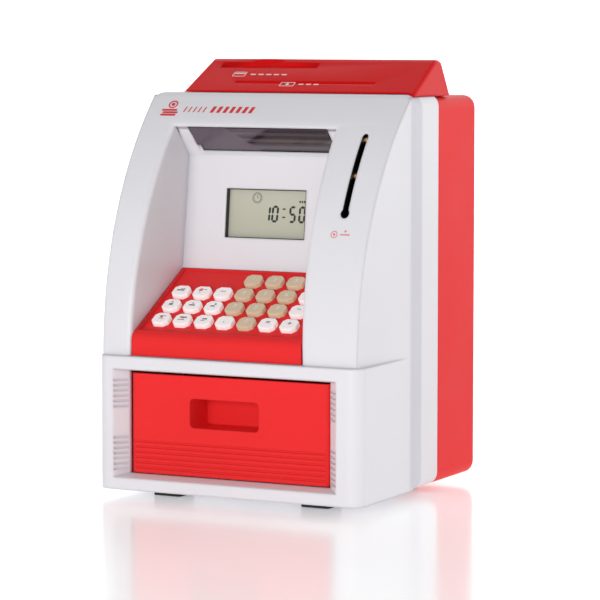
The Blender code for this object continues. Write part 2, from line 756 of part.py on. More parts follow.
def make_deck(field):
    lip = [
        (RIM_FRONT[0] - 1.5, RIM_FRONT[1] - 0.95), (RIM_FRONT[0] - 2.7, RIM_FRONT[1] - 2.2),
        (RIM_FRONT[0] - 3.35, RIM_FRONT[1] - 3.6), (DECK_FRONT_Y, RIM_FRONT[1] - 5.2),
    ]
    outline = [
        RIM_BACK, RIM_FRONT, *lip, (DECK_FRONT_Y, 74.1), (5.3, 74.1), deck_point(-11.5, DECK_UNDERSIDE),
        (RIM_BACK[0] - 0.3, deck_point(47.0, DECK_UNDERSIDE)[1]),
    ]
    deck = add_part("keypad_deck", gap_walls(slab(outline, (-1.0, 1.0), "x"), 0.35), RED)
    recess = box((-54.0, 38.6), (-9.4, 45.6), (0.0, 6.0))
    cut(deck, recess, field)
    holes = []
    for _, _, x, up in key_positions():
        clear = [half / 2.0 + 0.3 for half in KEY_SIZE]
        ring = [(x + px, up + py) for px, py, _ in key_ring(*clear, KEY_CORNER, 0.0)]
        holes.append(slab(ring, (-8.0, 8.0), "z"))
    cut(deck, merged(holes), field)
    return deck


def make_keys(field):
    half_x, half_y = (size / 2.0 for size in KEY_SIZE)
    foot_x, foot_y = (size / 2.0 for size in KEY_FOOT_SIZE)
    foot_top = DECK_UNDERSIDE - GAP
    cap = loft([
        key_ring(foot_x, foot_y, 2.0, foot_top - 0.9), key_ring(foot_x, foot_y, 2.0, foot_top),
        key_ring(half_x, half_y, KEY_CORNER, foot_top), key_ring(half_x, half_y, KEY_CORNER, KEY_TOP - 0.5),
        key_ring(half_x - 0.5, half_y - 0.5, KEY_CORNER - 0.15, KEY_TOP),
    ])
    for column, row, x, up in key_positions():
        digit = BLANK_COLUMNS <= column < KEY_COLUMNS - 1 and (row > 0 or column == BLANK_COLUMNS + 1)
        name = f"key_{KEY_ROWS - row}_{column + 1}"
        add_part(name, cap.copy(), KEY_BEIGE if digit else KEY_WHITE, field, (x, up, 0.0))
    bpy.data.meshes.remove(cap)


def make_key_boards(field):
    add_part("key_membrane", box((-53.0, 38.0), (-8.0, 43.4), (-5.6, -4.5)), GREY_RUBBER, field)
    add_part("keypad_board", box((-54.0, 39.0), (-9.0, 42.8), (-7.5, -5.9)), CIRCUIT_GREEN, field)


# ---------------------------------------------------------------- display and boards
def make_display():
    x = (DISPLAY_X[0] - 3.6, DISPLAY_X[1] + 3.6)
    up = (DISPLAY_UP[0] - 3.6, DISPLAY_UP[1] + 3.6)
    add_part("lcd_panel", plane_box(back_wall, x, up, (3.1, 5.9)), DISPLAY_GLASS)
    x = (SMOKED_X[0] - 2.1, SMOKED_X[1] + 2.1)
    run = (SMOKED_ALONG[0] - 2.1, SMOKED_ALONG[1] + 2.1)
    add_part("ceiling_window", plane_box(ceiling, x, run, (1.1, 2.4)), SMOKED)


def make_main_board():
    board = add_part("main_board", box((-50.0, 48.0), (79.0, 80.6), (84.0, 168.0)), CIRCUIT_GREEN)
    join(board, box((-20.0, 4.0), (80.2, 83.6), (118.0, 130.0)))
    join(board, box((20.0, 40.0), (80.2, 87.0), (90.0, 97.0)))
    for x in (-38.0, -27.0):
        join(board, rod(4.0, (80.2, 92.0), "y", (x, 100.0), 12))


# ---------------------------------------------------------------- coin path
def make_coin_chute():
    """An upright box behind the slot whose foot leans left, so that coins fall into the drawer's tray."""
    left, right = CHUTE_OUTER_X
    outer = [*front_arc(2.9, 140.0, 192.0, 8), (72.0, 192.0), (72.0, 97.0), (40.5, 97.0)]
    chute = add_part("coin_chute", slab(outer, CHUTE_OUTER_X, "x"), BLACK_NYLON)
    lower = [(right, 101.0), (left, 101.0), (left, 97.0), (40.6, 70.0), (50.0, 70.0), (right, 94.6)]
    join(chute, slab(lower, (40.5, 72.0), "y"))
    left, right = CHUTE_INNER_X
    inner = [*front_arc(-2.0, 143.5, 190.5, 8), (70.5, 190.5), (70.5, 90.0), (42.0, 90.0), (42.0, 100.0)]
    cut(chute, slab(inner, CHUTE_INNER_X, "x"))
    lower_inner = [(right, 103.0), (left, 103.0), (left, 96.6), (41.3, 68.0), (47.3, 68.0), (right, 95.0)]
    cut(chute, slab(lower_inner, (42.0, 70.5), "y"))
    cut(chute, box((52.0, 56.5), (49.0, 61.0), (130.0, 136.0)))


def make_coin_lever():
    hub = turned([(0.0, 2.0), (1.9, 2.0), (1.9, -2.0), (0.0, -2.0)], "z", (0.0, 0.0, 0.0), 12)
    lever = add_part("coin_lever", hub, STEEL, None, COIN_LEVER_PIVOT)
    arm = box((-0.7, 0.7), (-10.5, 0.5), (-1.5, 1.5))
    arm.transform(Matrix.Rotation(math.radians(32.0), 4, "Z"))
    join(lever, arm, lever)


# ---------------------------------------------------------------- note feed and card reader
def gear(teeth, module, thickness, bore, phase):
    """A spur gear with its axis along x, made round the origin; phase is in tooth pitches."""
    radius = teeth * module / 2.0
    levels = ((-0.27, -1.1), (-0.13, 0.78), (0.13, 0.78), (0.27, -1.1))
    rim = []
    for tooth in range(teeth):
        for share, rise in levels:
            angle = 2.0 * math.pi * (tooth + share + phase) / teeth
            distance = radius + rise * module
            rim.append((distance * math.cos(angle), distance * math.sin(angle)))
    hole = []
    if bore:
        angles = [2.0 * math.pi * step / 12 for step in range(12)]
        hole = [[(bore * math.cos(angle), bore * math.sin(angle)) for angle in angles]]
    return slab(rim, (-thickness / 2.0, thickness / 2.0), "x", hole)


def make_rollers():
    shaft = [
        (0.0, 54.5), (1.5, 54.5), (1.5, 50.2), (FEED_RADIUS, 50.2), (FEED_RADIUS, -34.0), (1.5, -34.0),
        (1.5, -57.2), (0.0, -57.2),
    ]
    roller = turned(shaft, "x", (0.0, 0.0, 0.0), 20)
    add_part("feed_roller", roller, GREY_RUBBER, None, (0.0, FEED_Y, FEED_Z))
    pinch = [
        (0.0, 54.5), (1.3, 54.5), (1.3, 50.2), (PINCH_RADIUS, 50.2), (PINCH_RADIUS, -34.0), (1.3, -34.0),
        (1.3, -53.0), (0.0, -53.0),
    ]
    nip = turned(pinch, "x", (0.0, 0.0, 0.0), 16)
    add_part("pinch_roller", nip, WHITE_NYLON, None, (0.0, PINCH_Y, FEED_Z))


def make_drive():
    """The motor below the feed roller, its pinion and the gear on the roller's shaft, in mesh."""
    motor_z = FEED_Z - GEAR_SPACING
    wheel = gear(GEAR_TEETH, GEAR_MODULE, 2.4, 1.85, 0.25 * GEAR_TEETH % 1.0)
    add_part("feed_gear", wheel, WHITE_NYLON, None, (GEAR_X, FEED_Y, FEED_Z))
    toothed = gear(PINION_TEETH, GEAR_MODULE, 3.0, 0.0, 0.75 * PINION_TEETH % 1.0 + 0.5)
    pinion = add_part("motor_pinion", toothed, BRASS, None, (GEAR_X, FEED_Y, motor_z))
    join(pinion, rod(1.0, (-3.0, 0.0), "x", (0.0, 0.0), 10), pinion)
    can = [
        (0.0, -58.2), (3.0, -58.2), (3.0, -59.0), (6.0, -59.0), (6.0, -72.4), (0.0, -72.4),
    ]
    add_part("feed_motor", turned(can, "x", (0.0, 0.0, 0.0), 20), STEEL, None, (0.0, FEED_Y, motor_z))


def make_feed_frame():
    span = (PLATE_LEFT[0], PLATE_RIGHT[1])
    frame = add_part("feed_frame", box(span, (87.0, 93.2), (176.0, 204.2)), WHITE_NYLON)
    for x in (PLATE_LEFT, PLATE_RIGHT):
        join(frame, box(x, (65.0, 90.0), (188.0, 204.2)))
        for y, radius in ((FEED_Y, 1.85), (PINCH_Y, 1.65)):
            cut(frame, rod(radius, (x[0] - 1.0, x[1] + 1.0), "x", (y, FEED_Z), 12))
    cut(frame, box((-49.2, 8.3), (88.4, 91.4), (178.0, 215.0)))
    cut(frame, box((12.0, 49.4), (85.0, 95.0), (180.0, 202.0)))
    cut(frame, box((-24.5, -17.5), (90.5, 96.0), (179.0, 189.0)))


def make_card_lever():
    hub = turned([(0.0, 2.6), (1.9, 2.6), (1.9, -2.6), (0.0, -2.6)], "x", (0.0, 0.0, 0.0), 12)
    lever = add_part("card_lever", hub, STEEL, None, CARD_LEVER_PIVOT)
    arm = box((-1.6, 1.6), (-6.6, 0.5), (-0.7, 0.7))
    arm.transform(Matrix.Rotation(math.radians(14.0), 4, "X"))
    join(lever, arm, lever)


# ---------------------------------------------------------------- drawer
def make_drawer_front():
    face = (DRAWER_FACE_Y, DRAWER_FACE_Y + DRAWER_PLATE)
    plate = box(DRAWER_X, (face[0], face[1] + 4.0), DRAWER_Z)

    def upright(first, second):
        return max(first.y, second.y) < face[0] + 0.1 and abs(first.z - second.z) > 10.0

    front = add_part("drawer_front", rounded_mesh(plate, 3.4, upright, 4), RED)
    cut(front, box((DRAWER_X[0] - 2, DRAWER_X[1] + 2), (face[1], 20.0), (5.0, 70.0)))
    back = DRAWER_FACE_Y + POCKET_DEPTH
    cup_x = (POCKET_X[0] - POCKET_WALL, POCKET_X[1] + POCKET_WALL)
    cup_z = (POCKET_Z[0] - POCKET_WALL, POCKET_Z[1] + POCKET_WALL)
    join(front, box(cup_x, (face[0] + 1.0, back + POCKET_WALL), cup_z))
    pocket = box(POCKET_X, (-2.0, back), POCKET_Z)

    def lengthways(first, second):
        return abs(first.y - second.y) > 5.0

    cut(front, rounded_mesh(pocket, 2.2, lengthways, 3))
    grooves = []
    for step in range(6):
        z = 28.9 - RIB_PITCH * step
        grooves.append(box((DRAWER_X[0] - 1, DRAWER_X[1] + 1), (5.0, face[0] + 0.55), (z - 0.5, z + 0.5)))
    cut(front, merged(grooves))


def make_drawer_tray():
    """The open box behind the front, with a catch on its right side for the latch."""
    front = DRAWER_FACE_Y + DRAWER_PLATE + GAP
    tray = add_part("drawer_tray", box(TRAY_X, (front, TRAY_BACK), TRAY_Z), RED)
    inside = (TRAY_X[0] + TRAY_WALL, TRAY_X[1] - TRAY_WALL)
    cut(tray, box(inside, (0.0, TRAY_BACK - TRAY_WALL), (TRAY_Z[0] + TRAY_WALL, 60.0)))
    join(tray, box((TRAY_X[1] - 0.5, TRAY_X[1] + 2.0), CATCH_Y, (30.0, 42.0)))


# ---------------------------------------------------------------- drawer latch
def make_latch_lever():
    """The latch stands released: the hook swings back by LATCH_SWING to hold the catch on the tray."""
    outline = [
        (-3.0, -4.0), (-4.8, -16.4), (-7.1, -16.4), (-7.1, -19.2), (-3.0, -19.2), (-1.4, -14.0),
        (2.4, -2.4), (6.2, 0.6), (6.2, 3.6), (-1.0, 3.6), (-3.2, 1.6),
    ]
    hole = [(1.5 * math.cos(math.pi * step / 5), 1.5 * math.sin(math.pi * step / 5)) for step in range(10)]
    swing = Matrix.Rotation(math.radians(LATCH_SWING), 4, "Z")
    hook = slab(outline, (-1.5, 1.5), "z", [hole])
    fork = slab([(5.6, 1.2), (11.0, 1.2), (11.0, 3.2), (5.6, 3.2)], (-2.8, 2.8), "z")
    slot = box((6.4, 12.0), (0.0, 4.0), (-1.6, 1.6))
    for mesh in (hook, fork, slot):
        mesh.transform(swing)
    lever = add_part("latch_lever", hook, STEEL, None, (*LATCH_PIVOT, LATCH_Z))
    join(lever, fork, lever)
    cut(lever, slot, lever)


def make_solenoid():
    """The coil and its plunger, whose waist sits in the fork of the lever."""
    stem = [
        (0.0, 18.0), (2.5, 18.0), (2.5, 5.0), (1.1, 5.0), (1.1, 0.0), (2.5, 0.0), (2.5, -1.4),
        (0.0, -1.4),
    ]
    pulled_in = (PLUNGER_X, LATCH_PIVOT[1] + PLUNGER_STROKE, LATCH_Z)
    add_part("latch_plunger", turned(stem, "y", (0.0, 0.0, 0.0), 14), STEEL, None, pulled_in)
    shape = box((PLUNGER_X - 5.0, PLUNGER_X + 5.0), (44.0, 64.0), (LATCH_Z - 6.0, LATCH_Z + 6.0))
    coil = add_part("latch_solenoid", shape, STEEL)
    cut(coil, rod(2.9, (40.0, 55.0), "y", (PLUNGER_X, LATCH_Z), 14))


# ---------------------------------------------------------------- rear fittings
def make_batteries():
    end, shoulder = CELL_HALF, CELL_HALF - 0.6
    shape = [
        (0.0, end + 1.4), (2.6, end + 1.4), (2.6, end), (CELL_RADIUS - 0.5, end), (CELL_RADIUS, shoulder),
        (CELL_RADIUS, -shoulder), (CELL_RADIUS - 0.5, -end), (0.0, -end),
    ]
    for index, z in enumerate((BAY_Z[0] + 8.2, BAY_Z[1] - 8.2)):
        cell = turned(shape, "x", (0.0, 0.0, 0.0), 18)
        add_part(f"battery_{index + 1}", cell, BATTERY, None, (0.0, BAY_FRONT + 8.5, z))


def make_battery_door():
    hinge_z = BAY_Z[0] - 2.4
    lid = box((BAY_X[0] - 2.7, BAY_X[1] + 2.7), (LID_Y - DEPTH, 0.0), (-0.2, BAY_Z[1] - hinge_z + 2.7))
    door = add_part("battery_door", lid, RED, None, (0.0, DEPTH, hinge_z))
    grips = [box((-9.0, 9.0), (-0.6, 1.0), (z - 0.5, z + 0.5)) for z in (27.0, 29.2, 31.4)]
    cut(door, merged(grips), door)


def make_speaker():
    shape = [
        (0.0, 0.0), (3.0, 0.0), (8.0, -1.0), (14.5, 0.8), (18.0, 0.8), (18.0, -1.0), (10.0, -4.4),
        (8.5, -4.4), (8.5, -8.0), (0.0, -8.0),
    ]
    at = (SPEAKER_AT[0], DEPTH - WALL - 1.2, SPEAKER_AT[1])
    add_part("speaker", turned(shape, "y", (0.0, 0.0, 0.0), 20), SPEAKER, None, at)


def make_screws():
    shape = [(0.0, 2.4), (2.4, 2.4), (3.1, 1.5), (3.1, 0.0), (1.4, 0.0), (1.4, -20.0), (0.0, -20.0)]
    for index, (side, z) in enumerate(((-1, 0), (1, 0), (-1, 1), (1, 1))):
        screw = turned(shape, "y", (0.0, 0.0, 0.0), 12)
        at = (side * SCREW_X, SCREW_SEAT_Y, SCREW_Z[z])
        add_part(f"casing_screw_{index + 1}", screw, STEEL, None, at)


def make_feet():
    width, length, height = FOOT_SIZE
    for index, (x, y) in enumerate(((-FOOT_X, 0), (FOOT_X, 0), (-FOOT_X, 1), (FOOT_X, 1))):
        pad = box((-width / 2.0, width / 2.0), (-length / 2.0, length / 2.0), (0.0, height))
        foot = add_part(f"foot_{index + 1}", pad, BLACK_RUBBER, None, (x, FOOT_Y[y], 0.0))
        round_edges(foot, 1.5, lambda first, second: abs(first.z - second.z) > 1.0, 3)


def main():
    make_front_casing()
    make_rear_casing()
    make_hood()
    field = new_empty("key_field", (0.0, *FIELD_ORIGIN), (FIELD_SLOPE, 0.0, 0.0), ROOT)
    make_deck(field)
    make_keys(field)
    make_key_boards(field)
    make_display()
    make_main_board()
    make_coin_chute()
    make_coin_lever()
    make_rollers()
    make_drive()
    make_feed_frame()
    make_card_lever()
    make_drawer_front()
    make_drawer_tray()
    make_latch_lever()
    make_solenoid()
    make_batteries()
    make_battery_door()
    make_speaker()
    make_screws()
    make_feet()


clear_scene()
PARTS = new_collection("toy_cash_machine_bank")
CUTTERS = new_collection("cutters")
ROOT = new_empty("bank_origin", (0.0, -DEPTH / 2.0, 0.0))
main()
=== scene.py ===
"""Looks of the toy cash machine bank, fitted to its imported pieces.

The shells take a finer copy of their own mesh, and the keys get moulded caps with signs. The figures of the
display, the coin contacts, the collar of the coin slot and the printed pictograms are added. Places on the
bank are written in millimetres: x to the right, y back from the front of the base, z up.
"""
import json
import math

import bmesh
import bpy
from mathutils import Matrix, Vector

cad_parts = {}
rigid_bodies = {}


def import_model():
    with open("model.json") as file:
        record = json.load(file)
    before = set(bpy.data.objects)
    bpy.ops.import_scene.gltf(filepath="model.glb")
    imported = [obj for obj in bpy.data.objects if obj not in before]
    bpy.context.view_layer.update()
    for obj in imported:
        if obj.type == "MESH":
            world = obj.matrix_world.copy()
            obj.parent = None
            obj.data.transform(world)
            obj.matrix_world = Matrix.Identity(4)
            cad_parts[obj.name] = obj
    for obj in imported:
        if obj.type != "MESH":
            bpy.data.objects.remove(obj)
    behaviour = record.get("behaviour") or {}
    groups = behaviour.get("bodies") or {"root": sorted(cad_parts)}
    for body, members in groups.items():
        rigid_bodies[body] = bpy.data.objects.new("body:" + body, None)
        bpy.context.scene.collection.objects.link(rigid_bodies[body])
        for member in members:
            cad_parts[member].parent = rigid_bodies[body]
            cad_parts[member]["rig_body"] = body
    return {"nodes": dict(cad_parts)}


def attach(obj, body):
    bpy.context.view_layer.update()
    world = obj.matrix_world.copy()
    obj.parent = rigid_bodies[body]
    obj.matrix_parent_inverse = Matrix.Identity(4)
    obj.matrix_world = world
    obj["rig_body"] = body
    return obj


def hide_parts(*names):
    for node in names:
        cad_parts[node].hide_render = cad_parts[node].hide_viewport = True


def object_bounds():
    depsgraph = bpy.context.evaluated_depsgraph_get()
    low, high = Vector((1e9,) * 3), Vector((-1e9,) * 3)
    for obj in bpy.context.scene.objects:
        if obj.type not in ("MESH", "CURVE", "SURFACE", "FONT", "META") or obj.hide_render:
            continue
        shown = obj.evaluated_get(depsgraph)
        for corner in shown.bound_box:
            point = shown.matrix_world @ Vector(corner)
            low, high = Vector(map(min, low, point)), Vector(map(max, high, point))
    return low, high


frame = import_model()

CAD_BOX = [[float(v) for v in corner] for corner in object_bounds()]
NODES = frame["nodes"]
MM = 0.001
HALF_DEPTH = -CAD_BOX[0][1] / MM

# The curved front, an arc with its centre written as y and z.
ARC_RADIUS = 180.0
ARC_CENTRE = (182.0, 74.0)

# The alcove's back wall, written as y and z, and the display in it, measured up from the wall's foot.
WALL_FOOT = (57.0, 115.7)
WALL_TOP = (63.2, 175.2)
DISPLAY_X = (-32.0, 15.0)
DISPLAY_UP = (16.9, 42.8)
PANEL_DEPTH = 3.1

# The hood's sloping face, from its front edge to its ridge, written as y and z.
HOOD_FRONT = (64.0, 208.9)
HOOD_RIDGE = (93.3, 225.4)

# The coin slot: narrow sides, a round top and a wider round foot.
COIN_X = 58.2
COIN_HALF = 1.65
COIN_TOP = 189.0
COIN_FOOT = 149.8
COIN_FOOT_RADIUS = 2.4

# The hollow curve of each side rim: where its shade starts and ends, and how far out it lies.
RIM_SHADE_Y = (60.0, 61.8, 67.8, 69.6)
RIM_EDGE_X = (74.0, 75.0)

# Printed marks stand this far above their surface, and reach this far into it.
PRINT = 0.05
SINK = 0.02


# ---------------------------------------------------------------- places
def place(x, y, z):
    """A point of the bank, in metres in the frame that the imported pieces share."""
    return Vector((x, y - HALF_DEPTH, z)) * MM


def facing(origin, up):
    """A matrix for a flat area: x runs right, y up and z out, in millimetres from the origin."""
    right = Vector((1.0, 0.0, 0.0))
    turn = Matrix((right, up, right.cross(up))).transposed().to_4x4()
    return Matrix.Translation(origin) @ turn @ Matrix.Scale(MM, 4)


def plane(x, y, z, rise):
    """The same for an area that starts at a place on the bank and climbs along rise, given as y and z."""
    return facing(place(x, y, z), Vector((0.0, *rise)).normalized())


# ---------------------------------------------------------------- materials
GRAIN_DEPTH = 0.00002
CORNER_REACH = 0.006
CORNER_SHADE = 0.12
RIM_SHADE = 0.14
MOTTLE = (0.3, 0.7)


class Shader:
    """A Principled material with short calls for its nodes."""

    def __init__(self, name, colour, roughness, metallic=0.0):
        self.material = bpy.data.materials.new(name)
        self.material.use_nodes = True
        self.tree = self.material.node_tree
        self.bsdf = self.tree.nodes["Principled BSDF"]
        self.colour = colour
        self.roughness = roughness
        self.set("Base Color", (*colour, 1.0))
        self.set("Roughness", roughness)
        self.set("Metallic", metallic)
        self.where = self.node("ShaderNodeTexCoord").outputs["Object"]

    def set(self, key, value):
        self.bsdf.inputs[key].default_value = value

    def link(self, source, target):
        self.tree.links.new(source, target)

    def drive(self, key, source):
        self.link(source, self.bsdf.inputs[key])

    def node(self, kind, **inputs):
        made = self.tree.nodes.new(kind)
        for key, value in inputs.items():
            made.inputs[key.replace("_", " ")].default_value = value
        return made

    def axes(self):
        """The place on the object, as sockets for x, y and z."""
        split = self.node("ShaderNodeSeparateXYZ")
        self.link(self.where, split.inputs["Vector"])
        return split.outputs

    def noise(self, scale, detail=2.0):
        texture = self.node("ShaderNodeTexNoise", Scale=scale, Detail=detail)
        self.link(self.where, texture.inputs["Vector"])
        return texture.outputs["Fac"]

    def calculate(self, operation, *sources):
        made = self.node("ShaderNodeMath")
        made.operation = operation
        for source, target in zip(sources, made.inputs):
            self.link(source, target)
        return made.outputs[0]

    def ranged(self, source, low, high, span=MOTTLE):
        """Runs from low to high as the source runs over the span."""
        first, last = span
        result = self.node("ShaderNodeMapRange", From_Min=first, From_Max=last, To_Min=low, To_Max=high)
        self.link(source, result.inputs["Value"])
        return result.outputs["Result"]

    def mix(self, share, first, second, blend="MIX"):
        mixer = self.node("ShaderNodeMix")
        mixer.data_type = "RGBA"
        mixer.blend_type = blend
        for number, value in ((0, share), (6, first), (7, second)):
            socket = mixer.inputs[number]
            if isinstance(value, bpy.types.NodeSocket):
                self.link(value, socket)
            elif isinstance(value, float):
                socket.default_value = value
            else:
                socket.default_value = (*value, 1.0)
        return mixer.outputs[2]

    def tone(self, amount, scale):
        """Slow changes of colour over the surface."""
        dark = [v * (1.0 - amount) for v in self.colour]
        light = [min(1.0, v * (1.0 + amount)) for v in self.colour]
        self.drive("Base Color", self.mix(self.ranged(self.noise(scale), 0.0, 1.0), dark, light))

    def vary_roughness(self, amount, scale):
        low, high = self.roughness - amount, self.roughness + amount
        self.drive("Roughness", self.ranged(self.noise(scale, 3.0), low, high))

    def surface(self, strength, scale, edge=0.0):
        """A fine grain and, where edge is set, softened edges of that radius."""
        bump = self.node("ShaderNodeBump", Strength=strength, Distance=GRAIN_DEPTH)
        self.link(self.noise(scale, 3.0), bump.inputs["Height"])
        if edge:
            bevel = self.node("ShaderNodeBevel", Radius=edge)
            bevel.samples = 6
            self.link(bevel.outputs["Normal"], bump.inputs["Normal"])
        self.drive("Normal", bump.outputs["Normal"])

    def coat(self, weight, roughness):
        self.set("Coat Weight", weight)
        self.set("Coat Roughness", roughness)

    def glow(self, colour, strength):
        self.set("Emission Color", (*colour, 1.0))
        self.set("Emission Strength", strength)

    def darken(self, share, amount):
        """Takes the colour down by an amount wherever share is 1, and its blue by a little less."""
        colour = self.bsdf.inputs["Base Color"].links[0].from_socket
        shade = self.mix(share, (1.0, 1.0, 1.0), (1.0 - amount, 1.0 - amount, 1.0 - amount * 0.8))
        self.drive("Base Color", self.mix(1.0, colour, shade, "MULTIPLY"))

    def shade_hollows(self):
        """Soft shade where less light reaches: in tight corners and along the hollow of the side rim."""
        reach = self.node("ShaderNodeAmbientOcclusion", Distance=CORNER_REACH)
        reach.samples = 8
        self.darken(self.ranged(reach.outputs["AO"], 1.0, 0.0, (0.5, 0.95)), CORNER_SHADE)
        axes = self.axes()
        fade = [place(0.0, y, 0.0).y for y in RIM_SHADE_Y]
        start = self.ranged(axes["Y"], 0.0, 1.0, fade[:2])
        end = self.ranged(axes["Y"], 1.0, 0.0, fade[2:])
        side = self.calculate("ABSOLUTE", axes["X"])
        far = self.ranged(side, 0.0, 1.0, [x * MM for x in RIM_EDGE_X])
        hollow = self.calculate("MULTIPLY", self.calculate("MULTIPLY", start, end), far)
        self.darken(hollow, RIM_SHADE)


def moulded(name, colour, roughness, grain=0.25, edge=0.0004, gloss=0.5):
    """Moulded plastic or rubber, and ink."""
    made = Shader(name, colour, roughness)
    made.tone(0.015, 14.0)
    made.vary_roughness(0.03, 30.0)
    made.surface(grain, 1400.0, edge)
    made.set("Specular IOR Level", gloss)
    return made


def metal(name, colour, roughness):
    made = Shader(name, colour, roughness, metallic=1.0)
    made.tone(0.08, 90.0)
    made.vary_roughness(0.08, 700.0)
    made.surface(0.3, 1500.0, 0.0002)
    return made


def ink(name, colour, roughness):
    return moulded(name, colour, roughness, grain=0.1, edge=0.0)


def shell_red(name, colour, roughness, edge, gloss):
    """Glossy red plastic that keeps its colour in the highlights."""
    made = moulded(name, colour, roughness, 0.03, edge, gloss)
    made.set("Specular Tint", (1.0, 0.3, 0.3, 1.0))
    return made


def key_plastic(name, colour, roughness, glow, strength):
    """Plastic of the keys, which lets some light through and has a faint painted glow."""
    made = moulded(name, colour, roughness, 0.1, 0.0002)
    # Painted glow: emission that makes the keys brighter than the lamps alone light them.
    made.glow(glow, strength)
    made.set("Subsurface Weight", 0.25)
    made.set("Subsurface Radius", (1.0, 0.45, 0.35))
    made.set("Subsurface Scale", 0.0015)
    return made


def shell_white():
    made = moulded("white_gloss", (0.80, 0.79, 0.825), 0.32, 0.02, 0.0022, 0.35)
    made.shade_hollows()
    return made


def circuit_board():
    made = Shader("board_resist", (0.012, 0.12, 0.045), 0.35)
    tracks = made.node("ShaderNodeTexBrick", Scale=90.0, Color1=(0.010, 0.11, 0.040, 1.0),
                       Color2=(0.014, 0.13, 0.050, 1.0), Mortar=(0.05, 0.26, 0.09, 1.0))
    made.link(made.where, tracks.inputs["Vector"])
    made.drive("Base Color", tracks.outputs["Color"])
    made.surface(0.2, 900.0)
    return made


def display_face():
    """Liquid crystal glass: greenish grey with painted shading, a little darker towards its foot, and
    faintly mottled.
    """
    made = Shader("display_face", (0.53, 0.53, 0.42), 0.35)
    # Painted shading: lighter at the top and a little darker towards the foot.
    height = made.ranged(made.axes()["Z"], 0.0, 1.0, (0.130, 0.160))
    painted_shade_ramp = made.mix(height, (0.50, 0.495, 0.385), (0.58, 0.58, 0.47))
    mottling = made.mix(made.ranged(made.noise(350.0), 0.97, 1.0), (0.9, 0.9, 0.9), (1.0, 1.0, 1.0))
    made.drive("Base Color", made.mix(1.0, painted_shade_ramp, mottling, "MULTIPLY"))
    made.surface(0.05, 2000.0)
    made.coat(0.35, 0.12)
    return made


def smoked_window():
    """Dark smoked acrylic, with the lamp's ribbed housing showing faintly through its right half."""
    made = Shader("smoked_acrylic", (0.075, 0.055, 0.075), 0.12)
    axes = made.axes()
    rows = made.ranged(axes["Y"], 0.0, 22.0, (-0.020, -0.005))
    ribs = made.ranged(made.calculate("SINE", rows), 0.0, 1.0, (-0.4, 0.6))
    ribbed = made.mix(ribs, (0.018, 0.010, 0.016), (0.085, 0.065, 0.085))
    slant = made.calculate("SUBTRACT", axes["X"], axes["Y"])
    right_half = made.ranged(slant, 0.0, 1.0, (-0.004, -0.002))
    made.drive("Base Color", made.mix(right_half, (0.095, 0.07, 0.095), ribbed))
    made.surface(0.04, 400.0)
    made.coat(0.6, 0.05)
    return made


LOOK = {
    "white": shell_white(),
    "red": shell_red("red_gloss", (0.86, 0.032, 0.034), 0.42, 0.0009, 0.12),
    "hood": shell_red("red_hood", (0.74, 0.006, 0.008), 0.36, 0.0016, 0.15),
    # The last two values of each key look are its painted glow: its colour and its strength.
    "beige": key_plastic("key_beige", (0.68, 0.54, 0.38), 0.45, (0.85, 0.66, 0.45), 0.10),
    "key": key_plastic("key_white", (0.95, 0.90, 0.90), 0.40, (1.0, 0.93, 0.92), 0.16),
    "foot": moulded("foot_rubber", (0.012, 0.012, 0.013), 0.75, 0.6),
    "membrane": moulded("grey_rubber", (0.30, 0.30, 0.31), 0.7, 0.5),
    "black": moulded("black_nylon", (0.008, 0.008, 0.009), 0.5, 0.3),
    "nylon": moulded("white_nylon", (0.72, 0.72, 0.69), 0.5, 0.3),
    "board": circuit_board(),
    "display": display_face(),
    "smoked": smoked_window(),
    "steel": metal("zinc_steel", (0.58, 0.59, 0.61), 0.32),
    "brass": metal("turned_brass", (0.72, 0.50, 0.20), 0.28),
    "copper": metal("contact_copper", (0.85, 0.47, 0.22), 0.22),
    "cell": moulded("cell_wrap", (0.03, 0.07, 0.22), 0.3, 0.1),
    "cone": moulded("speaker_cone", (0.03, 0.03, 0.03), 0.8, 0.8),
    "ink_red": ink("ink_red", (0.72, 0.035, 0.05), 0.45),
    "ink_rose": ink("ink_rose", (0.78, 0.22, 0.25), 0.5),
    "ink_dark": ink("ink_dark", (0.035, 0.03, 0.035), 0.5),
    "ink_white": ink("ink_white", (0.86, 0.84, 0.82), 0.5),
    "segment": moulded("display_segment", (0.016, 0.018, 0.016), 0.4, 0.05, 0.0),
}


# ---------------------------------------------------------------- meshes
def add_object(name, data):
    made = bpy.data.objects.new(name, data)
    bpy.context.scene.collection.objects.link(made)
    return made


def add_mesh(name, bm, looks, body, matrix=None, angle=35.0):
    """A piece that rides on a body. Its edges are sharp where faces meet at more than the angle."""
    bmesh.ops.recalc_face_normals(bm, faces=bm.faces)
    mesh = bpy.data.meshes.new(name)
    bm.to_mesh(mesh)
    bm.free()
    for look in looks:
        mesh.materials.append(LOOK[look].material)
    mesh.shade_smooth()
    mesh.set_sharp_from_angle(angle=math.radians(angle))
    piece = add_object(name, mesh)
    if matrix is not None:
        piece.matrix_world = matrix
    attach(piece, body)
    return piece


def body_of(node):
    return NODES[node]["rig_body"]


def skin(bm, first, second, material=0):
    """Joins two loops that have the same number of points with a ring of faces."""
    count = len(first)
    for i in range(count):
        j = (i + 1) % count
        bm.faces.new((first[i], first[j], second[j], second[i])).material_index = material


def wrap(bm, loops):
    """Closes a ring-shaped body through its loops in turn, from the last back to the first."""
    for first, second in zip(loops, loops[1:] + loops[:1]):
        skin(bm, first, second)


def plate(bm, outline, lift=PRINT, material=0):
    """A thin closed plate over a flat outline."""
    low = [bm.verts.new((x, y, -SINK)) for x, y in outline]
    high = [bm.verts.new((x, y, lift)) for x, y in outline]
    bm.faces.new(high).material_index = material
    bm.faces.new(low[::-1]).material_index = material
    skin(bm, low, high, material)


def band(bm, outer, inner, low=-SINK, high=PRINT):
    """A closed ring between two outlines that have the same number of points."""
    wrap(bm, [[bm.verts.new((x, y, z)) for x, y in outline]
              for outline, z in ((outer, low), (outer, high), (inner, high), (inner, low))])


